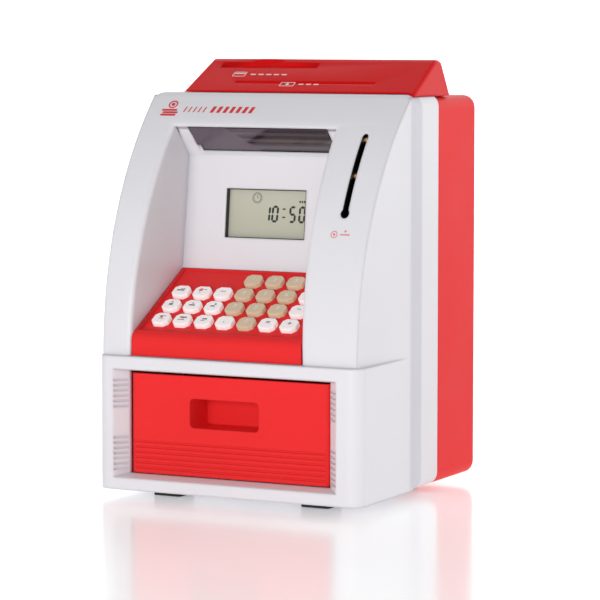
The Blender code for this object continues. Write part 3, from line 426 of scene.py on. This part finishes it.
def arc(x, y, radius, start, turn, steps):
    """Points of a round stretch about x and y, with both of its ends."""
    angles = [start + turn * i / steps for i in range(steps + 1)]
    return [(x + radius * math.cos(a), y + radius * math.sin(a)) for a in angles]


def circle(x, y, radius):
    return arc(x, y, radius, 0.0, math.tau, 28)[:-1]


def rounded(x0, x1, y0, y1, radius, steps=4):
    """A rectangle with round corners."""
    corners = ((x1 - radius, y1 - radius), (x0 + radius, y1 - radius),
               (x0 + radius, y0 + radius), (x1 - radius, y0 + radius))
    quarter = math.pi / 2.0
    return [point for i, (x, y) in enumerate(corners)
            for point in arc(x, y, radius, quarter * i, quarter, steps)]


def bar(bm, x0, x1, y0, y1, material=0, lift=PRINT):
    """A stroke with round ends."""
    plate(bm, rounded(x0, x1, y0, y1, min(x1 - x0, y1 - y0) * 0.45, 3), lift, material)


def lean(outline, amount, base=0.0):
    """An outline slanted to the right above its base."""
    return [(x + (y - base) * amount, y) for x, y in outline]


# ---------------------------------------------------------------- shells and inner pieces
SHELLS = {
    "front_casing": ("white", "white_plastic"), "rear_casing": ("red", "red_plastic"),
    "top_hood": ("hood", "red_plastic"), "keypad_deck": ("red", "red_plastic"),
    "drawer_front": ("red", "red_plastic"), "drawer_tray": ("red", "red_plastic"),
    "battery_door": ("red", "red_plastic"),
}
INNER = {
    "key_membrane": "membrane", "keypad_board": "board", "main_board": "board", "lcd_panel": "display",
    "ceiling_window": "smoked", "coin_chute": "black", "coin_lever": "steel", "feed_roller": "membrane",
    "feed_gear": "nylon", "pinch_roller": "nylon", "feed_motor": "steel", "motor_pinion": "brass",
    "feed_frame": "nylon", "card_lever": "steel", "latch_lever": "steel", "latch_plunger": "steel",
    "latch_solenoid": "steel", "battery_1": "cell", "battery_2": "cell", "speaker": "cone",
}
for number in range(1, 5):
    INNER[f"casing_screw_{number}"] = "steel"
    INNER[f"foot_{number}"] = "foot"
FLAT_FACED = ("drawer_front", "battery_door", "drawer_tray")
LARGE_FACE = 0.0001
WELD = 0.000005
FLAT_ANGLE = math.radians(0.4)
SHELL_CREASE = 28.0


def refine(node, look):
    """A finer copy of a packed shell: welded, smooth where it curves and flat where it is flat."""
    bm = bmesh.new()
    bm.from_mesh(NODES[node].data)
    bmesh.ops.remove_doubles(bm, verts=bm.verts, dist=WELD)
    bmesh.ops.dissolve_limit(bm, angle_limit=FLAT_ANGLE, verts=bm.verts, edges=bm.edges)
    piece = add_mesh("look_" + node, bm, [look], body_of(node), angle=SHELL_CREASE)
    if node in FLAT_FACED:
        for face in piece.data.polygons:
            face.use_smooth = face.area < LARGE_FACE
    normals = piece.modifiers.new("even_normals", "WEIGHTED_NORMAL")
    normals.keep_sharp = True
    normals.weight = 50
    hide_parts(node)


def make_shells():
    for node, (look, slot) in SHELLS.items():
        refine(node, look)


def paint_inner():
    for node, look in INNER.items():
        materials = NODES[node].data.materials
        materials.clear()
        materials.append(LOOK[look].material)


# ---------------------------------------------------------------- keys
FIELD_SLOPE = math.radians(30.7)
KEY_HALF = (4.75, 4.5)
KEY_CUT = 2.0
KEY_FOOT = -2.0
KEY_LIFT = 2.4
KEY_RADIUS = 0.35
KEY_LEAST_RADIUS = 0.2
KEY_CREASE = 50.0
DISH_DEPTH = 0.085

# The cap's section, as the inset from its outline and the height over the field: sides, rim and dish.
KEY_SECTION = ((0.0, KEY_FOOT), (0.05, 0.6), (0.10, KEY_LIFT - 0.4), (0.15, KEY_LIFT - 0.2),
               (0.24, KEY_LIFT - 0.08), (0.38, KEY_LIFT), (1.0, KEY_LIFT - 0.02), (2.0, KEY_LIFT - 0.06),
               (3.0, KEY_LIFT - 0.08))

INKS = ["ink_red", "ink_dark", "ink_rose", "ink_white"]
RED, DARK, ROSE, WHITE = range(4)
SIGN_UP = 0.6
NUMERAL_SIZE = 4.4
SIGN_SIZE = 5.2
POINT_SIZE = 6.0
STROKE_HALF = 0.19


def key_outline(inset):
    """An eight-sided key outline with rounded corners, drawn in by inset."""
    radius = max(KEY_LEAST_RADIUS, KEY_RADIUS - inset * 0.2)
    hx, hy = KEY_HALF[0] - inset, KEY_HALF[1] - inset
    cut = KEY_CUT - inset * 0.45
    corners = [Vector(corner) for corner in (
        (hx, -hy + cut), (hx, hy - cut), (hx - cut, hy), (-hx + cut, hy),
        (-hx, hy - cut), (-hx, -hy + cut), (-hx + cut, -hy), (hx - cut, -hy))]
    points = []
    for i, here in enumerate(corners):
        start = here + (corners[i - 1] - here).normalized() * radius
        end = here + (corners[(i + 1) % 8] - here).normalized() * radius
        for t in (0.0, 0.33, 0.67, 1.0):
            points.append(start * (1 - t) ** 2 + here * 2 * t * (1 - t) + end * t ** 2)
    return points


def keycap(node, look, matrix):
    """A moulded cap: drafted sides, a rolled rim and a shallow dish."""
    bm = bmesh.new()
    rings = [[bm.verts.new((*point, z)) for point in key_outline(inset)] for inset, z in KEY_SECTION]
    bm.faces.new(rings[0][::-1])
    bm.faces.new(rings[-1])
    for low, high in zip(rings, rings[1:]):
        skin(bm, low, high)
    piece = add_mesh("cap_" + node, bm, [look], body_of(node), matrix, KEY_CREASE)
    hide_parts(node)


def key_matrix(node):
    """The key's own frame: the middle of its cap, with 0 on the face of the field."""
    right = Vector((1.0, 0.0, 0.0))
    up = Vector((0.0, math.cos(FIELD_SLOPE), math.sin(FIELD_SLOPE)))
    out = right.cross(up)
    points = [vertex.co for vertex in NODES[node].data.vertices]
    across, climb, height = ([point.dot(axis) for point in points] for axis in (right, up, out))
    origin = (right * (min(across) + max(across)) / 2.0 + up * (min(climb) + max(climb)) / 2.0
              + out * (max(height) - KEY_LIFT * MM))
    return facing(origin, up)


def font_sign(bm, text, size, material):
    """A generic numeral or sign from the built-in font, laid flat over the middle of a key."""
    curve = bpy.data.curves.new("numeral", "FONT")
    curve.body = text
    curve.size = size
    curve.align_x = "CENTER"
    curve.align_y = "CENTER"
    curve.extrude = (PRINT + SINK) / 2.0
    curve.resolution_u = 4
    holder = add_object("numeral", curve)
    mesh = bpy.data.meshes.new_from_object(holder.evaluated_get(bpy.context.evaluated_depsgraph_get()))
    mesh.transform(Matrix.Translation((0.0, SIGN_UP, (PRINT - SINK) / 2.0)))
    bm.from_mesh(mesh)
    for face in bm.faces:
        face.material_index = material
    bpy.data.objects.remove(holder)
    bpy.data.curves.remove(curve)
    bpy.data.meshes.remove(mesh)


def strokes(bm, x0, x1, rows):
    for y in rows:
        bar(bm, x0, x1, y - STROKE_HALF, y + STROKE_HALF, DARK)


def menu_sign(bm):
    strokes(bm, -0.6, 2.0, (1.5,))
    strokes(bm, -2.6, 1.9, (0.55, 0.05))


def coin_sign(bm):
    plate(bm, circle(-0.9, 1.3, 1.25), material=ROSE)
    strokes(bm, 0.7, 2.3, (1.7,))
    strokes(bm, -1.4, -0.4, (-0.9,))


def code_sign(bm):
    for i, material in enumerate((RED, DARK, DARK, RED)):
        plate(bm, circle(-1.3 + i * 0.85, 0.9, 0.34), material=material)


def save_sign(bm):
    plate(bm, [(-0.9, 2.2), (0.9, 2.2), (0.0, 1.3)], material=DARK)
    strokes(bm, -1.3, 1.1, (0.6, 0.0, -0.6))


def send_sign(bm):
    plate(bm, [(-0.4, 2.3), (0.7, 1.7), (-0.4, 1.1)], material=DARK)
    strokes(bm, -1.9, 1.6, (0.3, -0.3))


def stop_sign(bm):
    plate(bm, rounded(0.2, 1.3, 1.2, 2.2, 0.2), material=DARK)
    strokes(bm, -1.6, 1.1, (0.2, -0.3))


def pay_in_sign(bm):
    strokes(bm, -1.7, 2.4, (1.75,))
    plate(bm, circle(-0.2, 1.0, 0.75), material=RED)
    strokes(bm, -1.9, 1.3, (-0.35,))


def pay_out_sign(bm):
    strokes(bm, -1.9, 2.3, (1.75, 1.2))
    plate(bm, [(-0.7, 0.9), (0.7, 0.9), (0.0, 0.1)], material=RED)
    strokes(bm, -2.5, 1.6, (-0.7,))


def list_sign(bm):
    strokes(bm, -0.9, 1.9, (1.2, 0.7))
    strokes(bm, -1.7, 0.9, (-0.4,))


PICTURES = {"key_2_1": menu_sign, "key_2_2": coin_sign, "key_2_3": code_sign,
            "key_3_1": save_sign, "key_3_2": send_sign, "key_3_3": stop_sign,
            "key_4_1": pay_in_sign, "key_4_2": pay_out_sign, "key_4_3": list_sign}
NUMERALS = {"key_1_4": "1", "key_1_5": "2", "key_1_6": "3", "key_2_4": "4", "key_2_5": "5",
            "key_2_6": "6", "key_3_4": "7", "key_3_5": "8", "key_3_6": "9", "key_4_5": "0"}
SIGNS = {"key_1_7": "÷", "key_2_7": "×", "key_3_7": "−", "key_4_7": "+", "key_4_6": "=", "key_4_4": "."}


def make_keys():
    for node in sorted(n for n in NODES if n.startswith("key_") and n[4].isdigit()):
        matrix = key_matrix(node)
        bm = bmesh.new()
        if node in NUMERALS:
            keycap(node, "beige", matrix)
            font_sign(bm, NUMERALS[node], NUMERAL_SIZE, WHITE)
        else:
            keycap(node, "key", matrix)
            if node in SIGNS:
                font_sign(bm, SIGNS[node], POINT_SIZE if SIGNS[node] == "." else SIGN_SIZE, DARK)
            else:
                PICTURES[node](bm)
        dish = matrix @ Matrix.Translation((0.0, 0.0, KEY_LIFT - DISH_DEPTH))
        sign = add_mesh("sign_" + node, bm, INKS, body_of(node), dish)


# ---------------------------------------------------------------- display
DIGIT_WIDTH = 4.1
DIGIT_HEIGHT = 8.9
DIGIT_FOOT = 25.6
DIGIT_LEAN = 0.07
SEGMENT_HALF = 0.62
SEGMENT_LIFT = 0.03
SEGMENTS = {"0": "abcdef", "1": "bc", "5": "acdfg"}
CLOCK = (-15.2, 38.3)


def display_plane(depth):
    """The display's plane: x as in the bank, y up the back wall from its foot, z towards the viewer."""
    rise = Vector((WALL_TOP[0] - WALL_FOOT[0], WALL_TOP[1] - WALL_FOOT[1])).normalized()
    return plane(0.0, WALL_FOOT[0] + rise.y * depth, WALL_FOOT[1] - rise.x * depth, rise)


def display_outline(inset):
    left, right = DISPLAY_X
    foot, top = DISPLAY_UP
    return rounded(left + inset, right - inset, foot + inset, top - inset, 0.3)


def segment(x, y, length, flat):
    """One pointed bar of a seven-segment digit, lying flat or standing."""
    tip, shoulder = length / 2.0, length / 2.0 - SEGMENT_HALF
    points = [(-tip, 0.0), (-shoulder, SEGMENT_HALF), (shoulder, SEGMENT_HALF),
              (tip, 0.0), (shoulder, -SEGMENT_HALF), (-shoulder, -SEGMENT_HALF)]
    return [(x + (a if flat else b), y + (b if flat else a)) for a, b in points]


def digit(bm, figure, left):
    x0, x1 = left + SEGMENT_HALF, left + DIGIT_WIDTH - SEGMENT_HALF
    y0, y1 = DIGIT_FOOT + SEGMENT_HALF, DIGIT_FOOT + DIGIT_HEIGHT - SEGMENT_HALF
    x_mid, y_mid = (x0 + x1) / 2, (y0 + y1) / 2
    tall, wide = (y1 - y0) / 2.0 - 0.25, x1 - x0 - 0.2
    spots = {"a": (x_mid, y1, wide, True), "b": (x1, (y_mid + y1) / 2, tall, False),
             "c": (x1, (y0 + y_mid) / 2, tall, False), "d": (x_mid, y0, wide, True),
             "e": (x0, (y0 + y_mid) / 2, tall, False), "f": (x0, (y_mid + y1) / 2, tall, False),
             "g": (x_mid, y_mid, wide, True)}
    for name in SEGMENTS[figure]:
        plate(bm, lean(segment(*spots[name]), DIGIT_LEAN, DIGIT_FOOT), SEGMENT_LIFT)


def make_display():
    """The gasket round the panel, and its figures: a clock time, a small clock and a row of marks."""
    bm = bmesh.new()
    band(bm, display_outline(0.05), display_outline(0.4), 0.05, PANEL_DEPTH - 0.25)
    gasket = add_mesh("display_gasket", bm, ["black"], "chassis", display_plane(PANEL_DEPTH))
    bm = bmesh.new()
    for figure, left in (("1", -11.4), ("0", -6.7), ("5", 3.6), ("0", 9.2)):
        digit(bm, figure, left)
    for up in (28.1, 32.4):
        plate(bm, [(0.0, up), (1.7, up), (1.75, up + 0.75), (0.05, up + 0.75)], SEGMENT_LIFT)
    band(bm, circle(*CLOCK, 2.85), circle(*CLOCK, 2.6), high=SEGMENT_LIFT)
    band(bm, circle(*CLOCK, 2.15), circle(*CLOCK, 1.95), high=SEGMENT_LIFT)
    bar(bm, -15.3, -15.1, 38.2, 39.7, lift=SEGMENT_LIFT)
    bar(bm, -15.2, -14.1, 38.2, 38.4, lift=SEGMENT_LIFT)
    for left in (9.6, 10.9, 12.2):
        bar(bm, left, left + 0.95, 36.2, 37.4, lift=SEGMENT_LIFT)
    face = add_mesh("display_segments", bm, ["segment"], "chassis", display_plane(PANEL_DEPTH - 0.02))


# ---------------------------------------------------------------- printed pictograms
def front_plane(x, z):
    """The plane that touches the curved front at height z."""
    angle = math.asin((z - ARC_CENTRE[1]) / ARC_RADIUS)
    return plane(x, ARC_CENTRE[0] - ARC_RADIUS * math.cos(angle), z, (math.sin(angle), math.cos(angle)))


def hood_plane(along):
    """The plane of the hood's sloping face, from a point so far up the slope."""
    rise = Vector((HOOD_RIDGE[0] - HOOD_FRONT[0], HOOD_RIDGE[1] - HOOD_FRONT[1])).normalized()
    return plane(0.0, HOOD_FRONT[0] + rise.x * along, HOOD_FRONT[1] + rise.y * along, rise)


def coin_stack(bm, x, y):
    """Three stacked coins with one standing on top."""
    for i, shift in enumerate((0.0, 0.7, -0.2)):
        low = y + i * 1.75
        plate(bm, rounded(x - 4.6 + shift, x + 4.6 + shift, low, low + 1.3, 0.6))
    band(bm, circle(x + 0.6, y + 8.1, 2.7), circle(x + 0.6, y + 8.1, 1.9))
    plate(bm, circle(x + 0.6, y + 8.1, 1.1))


def hatch(bm, count, left, pitch, width, low, high):
    """A row of slanted marks."""
    for i in range(count):
        x = left + i * pitch
        plate(bm, lean([(x, low), (x + width, low), (x + width, high), (x, high)], 0.25))


def make_front_mark():
    """A coin stack and two rows of slanted marks."""
    bm = bmesh.new()
    coin_stack(bm, -61.5, -5.0)
    hatch(bm, 5, -52.6, 2.9, 0.7, -2.2, 1.6)
    hatch(bm, 7, -36.6, 3.8, 2.0, -2.4, 2.0)
    mark = add_mesh("print_front_mark", bm, ["ink_red"], "chassis", front_plane(0.0, 200.0))


def make_coin_sign():
    """A ringed coin, a bar and an arrowhead, below the coin slot."""
    bm = bmesh.new()
    band(bm, circle(-2.6, 0.0, 1.9), circle(-2.6, 0.0, 1.45))
    plate(bm, circle(-2.6, 0.0, 0.7))
    bar(bm, 0.6, 6.2, -0.35, 0.35)
    plate(bm, [(2.5, 2.3), (4.3, 2.3), (3.4, 1.0)])
    sign = add_mesh("print_coin_sign", bm, ["ink_rose"], "chassis", front_plane(57.0, 139.5))


def make_hood_signs():
    """The outlines of a card and of a note, each followed by dashes towards its slot."""
    bm = bmesh.new()
    band(bm, rounded(-38.0, -30.4, -2.2, 2.4, 0.8), rounded(-37.6, -30.8, -1.8, 2.0, 0.5))
    bar(bm, -37.4, -31.0, 0.4, 1.3)
    for i in range(5):
        bar(bm, -27.6 + i * 4.6, -24.4 + i * 4.6, -0.5, 0.5)
    card = add_mesh("print_card_sign", bm, ["ink_white"], "chassis", hood_plane(18.4))
    bm = bmesh.new()
    band(bm, rounded(-5.6, 2.8, -2.0, 2.0, 0.3), rounded(-5.2, 2.4, -1.6, 1.6, 0.1))
    plate(bm, circle(-1.4, 0.0, 0.95))
    for i in range(3):
        bar(bm, 5.2 + i * 4.4, 8.2 + i * 4.4, -0.5, 0.5)
    note = add_mesh("print_note_sign", bm, ["ink_white"], "chassis", hood_plane(8.6))


# ---------------------------------------------------------------- coin slot
CONTACT_Z = (186.2, 168.3)
CONTACT_DEPTH = 4.6
CONTACT_HALF = 1.4
CONTACT_LENGTH = 3.6
CONTACT_THICKNESS = 0.15
CONTACT_BOW = 1.1
COLLAR_DEPTH = (0.15, 3.0)
COLLAR_INSET = (0.05, 0.2)


def make_contacts():
    """Two bowed copper leaves inside the coin chute, which feel a coin go by."""
    for number, z in enumerate(CONTACT_Z, 1):
        slope = math.asin((z - ARC_CENTRE[1]) / ARC_RADIUS)
        y = ARC_CENTRE[0] - (ARC_RADIUS - CONTACT_DEPTH) * math.cos(slope)
        bm = bmesh.new()
        rings = []
        for i in range(9):
            t = i / 8.0 - 0.5
            low = CONTACT_BOW * math.cos(t * math.pi)
            high = low + CONTACT_THICKNESS
            y_along = t * CONTACT_LENGTH
            section = ((-1, low), (1, low), (1, high), (-1, high))
            rings.append([bm.verts.new((side * CONTACT_HALF, y_along, out)) for side, out in section])
        for first, second in zip(rings, rings[1:]):
            skin(bm, first, second)
        for ring in (rings[0], rings[-1]):
            bm.faces.new(ring)
        matrix = plane(COIN_X, y, z, (math.sin(slope), math.cos(slope)))
        leaf = add_mesh(f"coin_contact_{number}", bm, ["copper"], "chassis", matrix)


def slot_outline(inset):
    """The coin slot seen from the front, as x and z: a round foot, straight sides and a round top."""
    foot, half = COIN_FOOT_RADIUS - inset, COIN_HALF - inset
    mouth = math.acos(half / foot)
    low, high = COIN_FOOT + foot * math.sin(mouth), COIN_TOP - COIN_HALF
    climb = [low + (high - low) * i / 12 for i in range(1, 12)]
    outline = arc(0.0, COIN_FOOT, foot, math.pi - mouth, math.pi + 2.0 * mouth, 16)
    outline += [(half, z) for z in climb]
    outline += arc(0.0, high, half, 0.0, math.pi, 8)
    outline += [(-half, z) for z in reversed(climb)]
    return [(COIN_X + x, z) for x, z in outline]


def make_slot_collar():
    """The black collar of the coin chute, seen round the inside of the slot."""
    bm = bmesh.new()
    outer, inner = COLLAR_INSET
    front, back = COLLAR_DEPTH
    loops = []
    for inset, depth in ((outer, front), (outer, back), (inner, back), (inner, front)):
        loop = []
        for x, z in slot_outline(inset):
            y = ARC_CENTRE[0] - math.sqrt(ARC_RADIUS ** 2 - (z - ARC_CENTRE[1]) ** 2)
            loop.append(bm.verts.new(place(x, y + depth, z)))
        loops.append(loop)
    wrap(bm, loops)
    collar = add_mesh("coin_slot_collar", bm, ["black"], "chassis")


# ---------------------------------------------------------------- stage, light and camera
AZIMUTH = math.radians(26.97)
ELEVATION = math.radians(5.30)
TARGET = (42.5, 0.0, 107.2)
DISTANCE = 1.5
LENS = 180.0
SENSOR = 36.0
FLOOR_Z = -0.0002
FLOOR_HALF = 9.0
FLOOR_GLOW = 0.28
WALL_Y = 4.0
WALL_GLOW = 1.0
HORIZON = 0.55
ZENITH = 0.36
LIT_POINT = Vector((0.0, 0.0, 0.09))
PURE_WHITE = (1.0, 1.0, 1.0)


def studio_sheet(name, corners, shader, glow):
    """One glowing sheet of the studio, which isn't part of the bank."""
    bm = bmesh.new()
    bm.faces.new([bm.verts.new(corner) for corner in corners])
    mesh = bpy.data.meshes.new(name)
    bm.to_mesh(mesh)
    bm.free()
    shader.vary_roughness(0.02, 3.0)
    shader.glow(PURE_WHITE, glow)
    mesh.materials.append(shader.material)
    add_object(name, mesh)


def make_stage():
    """A wide pale table top that glows a little, as a light table does, and a lit wall far behind it."""
    top = Shader("studio_floor", (0.90, 0.90, 0.905), 0.16)
    top.set("Specular IOR Level", 0.3)
    square = [(x * FLOOR_HALF, y * FLOOR_HALF, FLOOR_Z) for x, y in ((-1, -1), (1, -1), (1, 1), (-1, 1))]
    studio_sheet("studio_floor", square, top, FLOOR_GLOW)
    upright = [(x, WALL_Y, z) for x, z in ((-9.0, -0.5), (9.0, -0.5), (9.0, 5.0), (-9.0, 5.0))]
    studio_sheet("studio_wall", upright, Shader("studio_wall", (0.9, 0.9, 0.9), 0.8), WALL_GLOW)


def area_light(name, position, size, power):
    """A rectangular lamp that points at the bank."""
    data = bpy.data.lights.new(name, "AREA")
    data.shape = "RECTANGLE"
    data.size, data.size_y = size
    data.energy = power
    lamp = add_object(name, data)
    lamp.location = position
    lamp.rotation_euler = (LIT_POINT - lamp.location).to_track_quat("-Z", "Y").to_euler()


def make_air():
    """Soft light from all round: bright at the horizon and dim overhead."""
    world = bpy.data.worlds.new("studio_air")
    bpy.context.scene.world = world
    world.use_nodes = True
    tree = world.node_tree
    air = tree.nodes["Background"]
    where = tree.nodes.new("ShaderNodeTexCoord")
    split = tree.nodes.new("ShaderNodeSeparateXYZ")
    level = tree.nodes.new("ShaderNodeMapRange")
    level.interpolation_type = "SMOOTHSTEP"
    for key, value in (("From Min", 0.1), ("From Max", 0.8), ("To Min", HORIZON), ("To Max", ZENITH)):
        level.inputs[key].default_value = value
    tree.links.new(where.outputs["Generated"], split.inputs["Vector"])
    tree.links.new(split.outputs["Z"], level.inputs["Value"])
    tree.links.new(level.outputs["Result"], air.inputs["Strength"])
    air.inputs["Color"].default_value = (*PURE_WHITE, 1.0)


def make_light():
    area_light("front_box", (0.15, -2.1, 0.35), (1.3, 0.6), 18.0)
    area_light("right_box", (1.95, 0.15, 0.45), (0.6, 1.0), 4.6)
    make_air()
    bpy.context.scene.view_settings.view_transform = "Standard"


def make_camera():
    level = math.cos(ELEVATION)
    back = Vector((math.sin(AZIMUTH) * level, -math.cos(AZIMUTH) * level, math.sin(ELEVATION)))
    data = bpy.data.cameras.new("studio_camera")
    data.lens = LENS
    data.sensor_width = SENSOR
    camera = add_object("studio_camera", data)
    camera.location = place(*TARGET) + back * DISTANCE
    camera.rotation_euler = (-back).to_track_quat("-Z", "Y").to_euler()
    bpy.context.scene.camera = camera


make_camera()
make_light()
make_stage()
make_shells()
paint_inner()
make_keys()
make_display()
make_front_mark()
make_coin_sign()
make_hood_signs()
make_contacts()
make_slot_collar()
